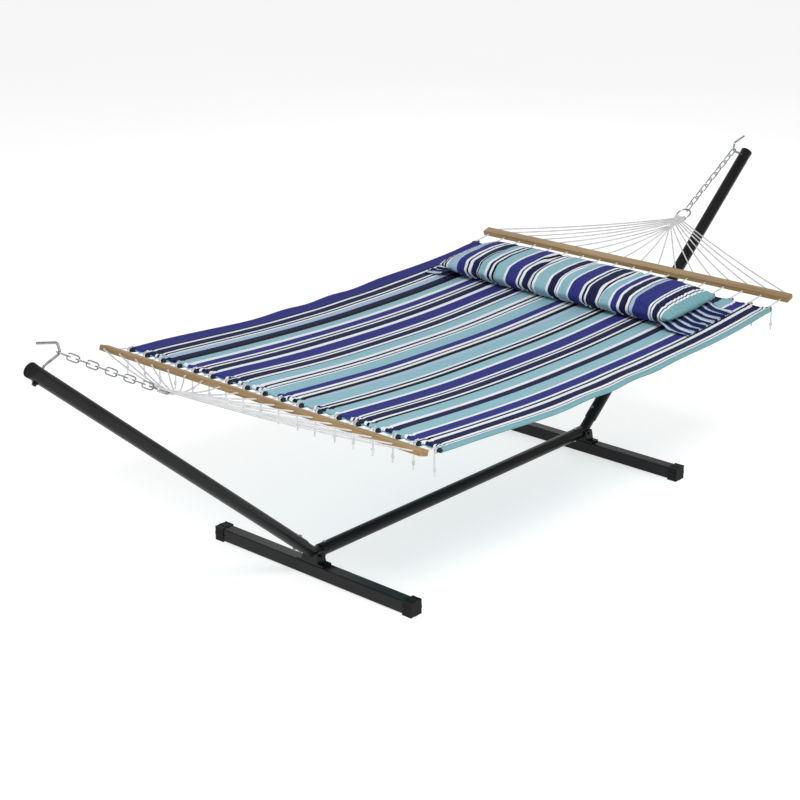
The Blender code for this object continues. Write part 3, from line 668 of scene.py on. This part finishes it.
# ---------------------------------------------------------------- chains and rings
def link_data():
    """One oval link about the origin, with the small bead where its wire is welded."""
    bend = (LINK_INNER_WIDTH + LINK_WIRE) / 2
    straight = (LINK_INNER_LENGTH + LINK_WIRE) / 2 - bend
    points, radii = [], []
    for side in (1, -1):
        for step in range(13):
            angle = math.pi * (step / 12 - 0.5)
            points.append(Vector((side * (straight + bend * math.cos(angle)),
                                  side * bend * math.sin(angle), 0)))
            radii.append(1.0)
        if side == 1:
            for place, radius in ((0.0035, 1.0), (0.0015, 1.13), (-0.0015, 1.13), (-0.0035, 1.0)):
                points.append(Vector((place, bend, 0)))
                radii.append(radius)
    return curve_data("chain_link", [points], LINK_WIRE, ZINC, closed=True, sides=4, radii=radii)


def add_chain(end, turn):
    data = as_mesh(link_data())
    first = middle("head_link_01")
    last = middle(f"head_link_{LINK_COUNT:02d}")
    along = (last - first).normalized()
    slope = math.atan2(-along.z, -along.x)
    for number in range(LINK_COUNT):
        node = f"link_{number + 1:02d}"
        place = Matrix.Translation(middle("head_" + node)) @ Matrix.Rotation(-slope, 4, "Y")
        if number % 2:
            place = place @ Matrix.Rotation(math.pi / 2, 4, "X")
        add_piece(f"{end}_chain_{node}", data, end + "_chain", turn @ place,
                  [f"{end}_{node}"])


def add_ring(end, turn):
    points = []
    for step in range(48):
        angle = 2 * math.pi * step / 48
        points.append(Vector((RING_RADIUS * math.cos(angle), RING_RADIUS * math.sin(angle), 0)))
    data = curve_data("ring", [points], RING_WIRE, ZINC, closed=True, sides=5)
    add_piece(end + "_ring_wire", as_mesh(data), "hammock", turn @ RING_PLACE, [end + "_ring"])


# ---------------------------------------------------------------- bed
HALF_WIDTH = BED_WIDTH / 2
EDGE_ROUND = 0.0065
SIDE_HEM = 0.030         # width of the long edges' hem
END_HEM = 0.046          # from the rolled end to the seam across the bed
SCALLOP = 0.020          # how far the end draws back between two cords
NECK = 0.0045            # half the width of the cloth inside a cord's loop
NECK_FLARE = 0.008       # over which the cloth spreads out beside the loop
BED_COLUMNS = 90
ROLL_STEPS = 10
QUILT_PITCH = 0.115      # between two sewn lines along the bed
HEM_SEAM = 0.0035        # half the width of a hem's sewn groove
QUILT_SEAM = 0.006       # and of a quilted line's
SIDE_GROOVE = 0.42       # how deep each groove is, as a share of half the thickness
QUILT_GROOVE = 0.20
END_GROOVE = 0.40
RIPPLE = 0.0035          # dip of the end between two cords
CREASE = 0.0018          # height of the small folds that run in from each cord
CREASE_PITCH = 0.018
SWELL = 0.0035           # height of the broad rises
FLUTTER = 0.0028         # height of the waves along the long edges


def dip(distance, width):
    """From 1 at a sewn line to 0 at its sides."""
    return math.exp(-(distance / width) ** 2)


def cord_share(y):
    """From 0 at a cord to 1 midway between two, and the distance to the nearest cord."""
    number = y / CORD_PITCH + (CORD_COUNT - 1) / 2
    nearest = min(CORD_COUNT - 1, max(0, round(number)))
    away = abs(number - nearest)
    return math.sin(math.pi * min(away, 0.5)) ** 2, away * CORD_PITCH


def drawn_back(away):
    """How far the end lies behind the hem's axis: nothing in a loop, all of SCALLOP past the flare."""
    share = min(1.0, max(0.0, (away - NECK) / NECK_FLARE))
    return SCALLOP * share * share * (3 - 2 * share)


def bed_half_thickness(x, y):
    """Half the quilt's thickness, drawn in at its seams."""
    half = BED_THICKNESS / 2
    from_side = HALF_WIDTH - abs(y)
    if from_side < SIDE_HEM:
        half *= 1.08
    groove = SIDE_GROOVE * dip(from_side - SIDE_HEM, HEM_SEAM)
    line = (y / QUILT_PITCH - 0.5) % 1.0
    groove = max(groove, QUILT_GROOVE * dip(min(line, 1 - line) * QUILT_PITCH, QUILT_SEAM))
    from_end = HEM.x - abs(x)
    groove = max(groove, END_GROOVE * dip(from_end - END_HEM, HEM_SEAM))
    return half * (1 - groove)


def bed_wave(x, y):
    """Small rises and hollows of the hung cloth."""
    from_end = HEM.x - abs(x)
    share, away = cord_share(y)
    ripple = -RIPPLE * share * math.exp(-max(from_end, 0) / 0.07)
    crease = CREASE * math.cos(2 * math.pi * away / CREASE_PITCH) * math.exp(-max(from_end, 0) / 0.040)
    broad = noise.noise(Vector((x * 2.3, y * 3.4, 1.7))) * SWELL
    edge = math.exp(-(HALF_WIDTH - abs(y)) / 0.05)
    flutter = FLUTTER * edge * math.sin(x * 17 + 2 * math.sin(x * 5))
    fade = min(1.0, max(0.0, from_end) / 0.12)
    return ripple + crease + (broad + flutter) * fade


def bed_stations():
    """Places across the bed: close together at the long edges and at each cord."""
    half = [HALF_WIDTH - EDGE_ROUND * (1 - math.cos(math.radians(a))) for a in (0, 18, 36, 54, 72, 90)]
    half += [HALF_WIDTH - w for w in (0.012, 0.018, 0.023, 0.027, 0.030, 0.033, 0.038)]
    places = set()
    for number in range(CORD_COUNT // 2, CORD_COUNT):
        centre = cord_y(number)
        for step in (-0.5, -0.38, -0.27, -0.20, -0.157, -0.135, -0.11, -0.09, -0.072, -0.056, -0.03, 0,
                     0.03, 0.056, 0.072, 0.09, 0.11, 0.135, 0.157, 0.20, 0.27, 0.38):
            places.add(round(centre + step * CORD_PITCH, 5))
    inner = [y for y in places if 0 <= y < HALF_WIDTH - 0.041]
    positive = sorted(set(round(y, 5) for y in half + inner))
    return [-y for y in reversed(positive) if y > 0] + positive


def bed_profile(y):
    """One closed cut through the bed in the XZ plane, at one place across it."""
    away = cord_share(y)[1]
    inset = HALF_WIDTH - abs(y)
    flat = math.sqrt(max(0.0, 1 - (1 - inset / EDGE_ROUND) ** 2)) if inset < EDGE_ROUND else 1.0
    flat = max(flat, 0.12)
    pinch = dip(away, 0.0055)
    bulge = dip(away - 0.011, 0.006)
    roll = (HEM_ROLL * (1 + 0.06 * bulge) * (1 - pinch) + HEM_PINCH * 0.97 * pinch) * flat
    centre_x = HEM.x - drawn_back(away)
    xs = []
    reach = centre_x - 0.004
    for step in range(BED_COLUMNS + 1):
        t = 2 * step / BED_COLUMNS - 1
        xs.append(reach * (1.35 * t - 0.35 * t ** 3))
    top, low = [], []
    for x in xs:
        mid = bed_height(x) + bed_wave(x, y)
        near = min(1.0, max(0.0, (centre_x - abs(x)) / 0.03))
        half = bed_half_thickness(x, y) * flat
        half = half * near + min(half, roll * 0.75) * (1 - near)
        top.append(Vector((x, y, mid + half)))
        low.append(Vector((x, y, mid - half)))
    points = list(top)
    for side in (1, -1):
        centre = Vector((side * centre_x, y, HEM.z + bed_wave(side * centre_x, y)))
        arc = []
        for step in range(ROLL_STEPS + 1):
            angle = math.radians(128 * (1 - 2 * step / ROLL_STEPS))
            arc.append(centre + Vector((side * math.cos(angle), 0, math.sin(angle))) * roll)
        if side == 1:
            points += arc + list(reversed(low))
        else:
            points += list(reversed(arc))
    return points


def bed_mesh():
    form = bmesh.new()
    stations = bed_stations()
    loops = [[form.verts.new(point) for point in bed_profile(y)] for y in stations]
    count = len(loops[0])
    on_top = BED_COLUMNS + ROLL_STEPS // 2 + 1
    for here, ahead, y in zip(loops, loops[1:], stations):
        for k in range(count):
            face = form.faces.new((here[k], here[(k + 1) % count], ahead[(k + 1) % count], ahead[k]))
            face.smooth = True
            lining = on_top < k < count - ROLL_STEPS // 2 - 1
            face.material_index = 1 if lining or abs(y) > HALF_WIDTH - EDGE_ROUND * 0.7 else 0
            centre = face.calc_center_median()
            # Faces at the end beside each cord's loop take the dark cloth: painted shade in the pinched
            # neck.
            if HEM.x - abs(centre.x) < 0.5 * SCALLOP and cord_share(centre.y)[1] > CORD_SIZE / 2:
                face.material_index = 2
    cap_ends(form, loops)
    bmesh.ops.recalc_face_normals(form, faces=form.faces)
    data = bpy.data.meshes.new("bed_cloth")
    form.to_mesh(data)
    form.free()
    for material in (BED_CLOTH, LINING, PAINTED_SHADE_CLOTH):
        data.materials.append(material)
    return data


def cap_ends(form, loops):
    """Closes each long edge with the flat cut of its end, in triangles."""
    for loop in (loops[0], loops[-1]):
        count = len(loop)
        face = form.faces.new(loop)
        face.material_index = 1
        face.smooth = True
        bmesh.ops.triangulate(form, faces=[face])


def add_bed():
    bed = add_piece("bed_quilt", bed_mesh(), "hammock", replaced=["bed"])


# ---------------------------------------------------------------- pillow
PILLOW_SQUARENESS = 0.86     # below 1 the section is fuller than an ellipse
PILLOW_ROUND = 40            # points round the section
PILLOW_END_STEPS = 30        # sections from the middle to an end
CLOTH_FRAMES = 20
PILLOW_LOBES = ((0.115, 0.030, 0.10), (-0.235, 0.028, 0.09), (-0.06, 0.05, 0.03), (0.33, 0.05, 0.04))


def pillow_section(share):
    """Half the depth and half the height of the pillow at a place along it, from -1 to 1."""
    crown = (1 - abs(share) ** 4.5) ** 0.5
    y = share * PILLOW_LENGTH / 2
    lobes = 1 - sum(depth * dip(y - place, width) for place, width, depth in PILLOW_LOBES)
    height = (0.0045 + (PILLOW_HEIGHT / 2 - 0.0095) * crown) * lobes
    depth = PILLOW_DEPTH / 2 * (0.90 + 0.075 * crown) - 0.006
    return depth, height


def pillow_form():
    """The stuffed shape before the cloth is blown out: a flat seam at each end, full between them."""
    form = bmesh.new()
    rings = []
    for step in range(2 * PILLOW_END_STEPS + 1):
        share = math.sin(math.pi / 2 * (step / PILLOW_END_STEPS - 1))
        depth, height = pillow_section(share)
        ring = []
        for k in range(PILLOW_ROUND):
            angle = 2 * math.pi * k / PILLOW_ROUND
            c, s = math.cos(angle), math.sin(angle)
            x = depth * math.copysign(abs(c) ** PILLOW_SQUARENESS, c)
            z = height * math.copysign(abs(s) ** PILLOW_SQUARENESS, s)
            ring.append(form.verts.new((x, share * PILLOW_LENGTH / 2, z)))
        rings.append(ring)
    for here, ahead in zip(rings, rings[1:]):
        for k in range(PILLOW_ROUND):
            after = (k + 1) % PILLOW_ROUND
            form.faces.new((here[k], here[after], ahead[after], ahead[k]))
    form.faces.new(rings[0])
    form.faces.new(rings[-1])
    bmesh.ops.recalc_face_normals(form, faces=form.faces)
    data = bpy.data.meshes.new("pillow_form")
    form.to_mesh(data)
    form.free()
    return data


def bed_top_under(point):
    """Height of the bed's top in the pillow's own frame, under a point of it."""
    spot = PILLOW_PLACE @ point
    top = Vector((spot.x, spot.y, bed_height(spot.x) + BED_THICKNESS / 2 + bed_wave(spot.x, spot.y)))
    return (PILLOW_PLACE.inverted() @ top).z


def blown(data, voxel, pressure, cap):
    """The form remeshed and blown out as cloth, each point moved no further than cap."""
    work = bpy.data.objects.new("work", data)
    bpy.context.scene.collection.objects.link(work)
    remesh = work.modifiers.new("remesh", "REMESH")
    remesh.mode = "VOXEL"
    remesh.voxel_size = voxel
    start = evaluated_copy(work, "start")
    work.modifiers.clear()
    work.data = start
    rest = [v.co.copy() for v in start.vertices]
    ends = work.vertex_groups.new(name="ends")
    ends.add([v.index for v in start.vertices if abs(v.co.y) > PILLOW_LENGTH / 2 - 0.008], 1.0, "ADD")
    cloth = work.modifiers.new("cloth", "CLOTH")
    cloth.settings.use_pressure = True
    cloth.settings.uniform_pressure_force = pressure
    cloth.settings.effector_weights.gravity = 0
    cloth.settings.quality = 4
    cloth.settings.tension_stiffness = 12
    cloth.settings.compression_stiffness = 12
    cloth.settings.bending_stiffness = 0.3
    cloth.settings.vertex_group_mass = "ends"
    cloth.settings.shrink_min = -0.012
    cloth.point_cache.frame_start = 1
    cloth.point_cache.frame_end = CLOTH_FRAMES
    for step in range(1, CLOTH_FRAMES + 1):
        bpy.context.scene.frame_set(step)
    swollen = evaluated_copy(work, "swollen")
    for vertex, place in zip(swollen.vertices, rest):
        move = vertex.co - place
        if move.length > cap:
            vertex.co = place + move.normalized() * cap
    bpy.data.objects.remove(work)
    bpy.context.scene.frame_set(1)
    return swollen


CREASES = (  # along the pillow, slant, depth and half width of each crease that runs over the top
    (0.118, 0.10, 0.0075, 0.011), (-0.232, -0.10, 0.0065, 0.010), (0.335, 0.06, 0.0030, 0.009),
    (-0.045, 0.05, 0.0030, 0.010), (-0.395, -0.12, 0.0028, 0.008), (0.445, 0.10, 0.0030, 0.009))


def pillow_detail(point, normal):
    """Seams, puckers and creases of the pillow's cover."""
    move = 0.0
    half = PILLOW_LENGTH / 2
    top = max(0.0, min(1.0, (point.z + 0.030) / 0.045))
    for place, slant, depth, width in CREASES:
        line = place + slant * point.x + 0.006 * math.sin(point.x * 30)
        away = point.y - line
        move -= depth * top * dip(away, width)
        move += depth * 0.4 * top * dip(abs(away) - 2.2 * width, width)
    from_end = half - abs(point.y)
    gather = math.exp(-max(0.0, from_end) / 0.045)
    ripple = math.sin(point.x * 2 * math.pi / 0.026 + 2.2 * math.sin(point.x * 21))
    move += 0.0024 * gather * ripple * min(1.0, from_end / 0.012)
    seam = dip(point.z - SEAM_HEIGHT, 0.0030)
    side = min(1.0, max(0.0, abs(point.x) / (PILLOW_DEPTH / 2) - 0.5) * 3)
    move -= 0.0028 * seam * side
    tuck = math.sin(point.y * 2 * math.pi / 0.019) + 0.6 * math.sin(point.y * 2 * math.pi / 0.047)
    move += 0.0008 * tuck * side * dip(point.z - SEAM_HEIGHT, 0.012)
    move += 0.0016 * noise.noise(point * 18) + 0.0008 * noise.noise(point * 55)
    return normal * move


def pillow_mesh():
    data = blown(pillow_form(), 0.0058, 4.0, 0.010)
    form = bmesh.new()
    form.from_mesh(data)
    bmesh.ops.subdivide_edges(form, edges=form.edges, cuts=1, use_grid_fill=True, smooth=0.0)
    bmesh.ops.smooth_vert(form, verts=form.verts, factor=0.5, use_axis_x=True, use_axis_y=True,
                          use_axis_z=True)
    form.normal_update()
    moves = [pillow_detail(v.co, v.normal) for v in form.verts]
    for vertex, move in zip(form.verts, moves):
        vertex.co += move
    for vertex in form.verts:
        floor = bed_top_under(vertex.co) + 0.0006
        if vertex.co.z < floor:
            vertex.co.z = floor
    for face in form.faces:
        face.smooth = True
    form.to_mesh(data)
    form.free()
    data.name = "pillow_cover"
    data.materials.clear()
    data.materials.append(PILLOW_CLOTH)
    return data


def add_pillow():
    pillow = add_piece("pillow_cushion", pillow_mesh(), "pillow", PILLOW_PLACE,
                       ["pillow"])


# ---------------------------------------------------------------- frills
FRILL_TUCK = 0.050       # of the frill under the pillow's end, where it is sewn to the lower face
FRILL_SEWN = 0.003       # depth of its edge inside that face
FRILL_HIDDEN = 0.010     # of the frill under the very end of the pillow
FRILL_FOLD = 0.0215      # between two of its small folds
FRILL_WAVE = 0.057       # between two of its broad ones
FRILL_STEPS = 150
FRILL_THICKNESS = 0.0010


def pillow_underside(point):
    """Height of the stuffed shape's lower face at a point of the pillow's frame."""
    depth, height = pillow_section(point.y / (PILLOW_LENGTH / 2))
    across = min(1.0, abs(point.x) / depth) ** (1 / PILLOW_SQUARENESS)
    return -height * (1 - across ** 2) ** (PILLOW_SQUARENESS / 2)


def frill_mesh(side):
    """A gathered strip from under the pillow's end, rippling more towards its free edge."""
    form = bmesh.new()
    rows = []
    seam = PILLOW_LENGTH / 2 - FRILL_HIDDEN
    width_steps, tuck_steps = 12, 6
    for i in range(FRILL_STEPS + 1):
        x = FRILL_DEPTH * (i / FRILL_STEPS - 0.5)
        turn = x * 2 * math.pi / FRILL_FOLD + 1.6 * math.sin(x * 29) + side
        wave = math.sin(turn)
        second = math.sin(x * 2 * math.pi / FRILL_WAVE + side * 2)
        row = []
        for j in range(-tuck_steps, width_steps + 1):
            share = max(0, j) / width_steps
            tucked = max(0, -j) / tuck_steps
            reach = FRILL_WIDTH + FRILL_HIDDEN + 0.0025 * second
            y = side * (seam + reach * share - FRILL_TUCK * tucked)
            lift = 0.0032 + 0.0036 * share ** 0.7 * wave + 0.0014 * share * second
            sway = 0.0045 * share * math.cos(turn)
            point = Vector((x + sway, y, 0))
            base = bed_top_under(point)
            start = 0.010 * (1 - share) ** 3
            point.z = base + 0.0012 + max(0.0004, lift) + start
            if tucked:
                point.z += (pillow_underside(point) + FRILL_SEWN - point.z) * tucked
            row.append(form.verts.new(point))
        rows.append(row)
    for here, ahead in zip(rows, rows[1:]):
        for j in range(tuck_steps + width_steps):
            face = form.faces.new((here[j], here[j + 1], ahead[j + 1], ahead[j]))
            face.smooth = True
    bmesh.ops.recalc_face_normals(form, faces=form.faces)
    data = bpy.data.meshes.new("frill")
    form.to_mesh(data)
    form.free()
    data.materials.append(FRILL_CLOTH)
    return data


def add_frills():
    for side, word in ((-1, "near"), (1, "far")):
        frill = add_piece("frill_" + word, frill_mesh(side), "pillow", PILLOW_PLACE,
                          ["pillow_frill_" + word])
        thick = frill.modifiers.new("thickness", "SOLIDIFY")
        thick.thickness = FRILL_THICKNESS
        thick.offset = 0.0


# ---------------------------------------------------------------- floor and light
FLOOR_REACH = 30.0       # from its middle to each side
FLOOR_DROP = 0.0005      # of the floor under the lowest face


def add_floor():
    form = bmesh.new()
    bmesh.ops.create_grid(form, x_segments=1, y_segments=1, size=FLOOR_REACH)
    data = bpy.data.meshes.new("floor")
    form.to_mesh(data)
    form.free()
    data.materials.append(floor_paint())
    floor = bpy.data.objects.new("floor", data)
    bpy.context.scene.collection.objects.link(floor)
    floor.location.z = -FLOOR_DROP


def add_light(name, place, target, size, power):
    data = bpy.data.lights.new(name, "AREA")
    data.shape = "DISK"
    data.size = size
    data.energy = power
    light = bpy.data.objects.new(name, data)
    bpy.context.scene.collection.objects.link(light)
    light.location = place
    light.rotation_mode = "QUATERNION"
    light.rotation_quaternion = (Vector(place) - Vector(target)).to_track_quat("Z", "Y")


def add_lights():
    target = (0, 0, 0.6)
    add_light("key", (-2.6, -3.4, 5.2), target, 1.7, 250)
    add_light("fill", (-5.5, 2.5, 3.6), target, 3.5, 30)
    add_light("rim", (4.5, 3.8, 4.2), target, 3.0, 55)
    world = bpy.data.worlds.new("studio")
    world.use_nodes = True
    background = world.node_tree.nodes["Background"]
    background.inputs["Color"].default_value = (1.0, 1.0, 1.0, 1.0)
    background.inputs["Strength"].default_value = 0.52
    bpy.context.scene.world = world
    bpy.context.scene.view_settings.view_transform = "Standard"


# ---------------------------------------------------------------- assembly
add_camera()
dress_frame()
for end, turn in (("head", Matrix.Identity(4)), ("foot", TURNED)):
    add_cords(end, turn)
    add_chain(end, turn)
    add_ring(end, turn)
add_bed()
add_pillow()
add_frills()
add_floor()
add_lights()
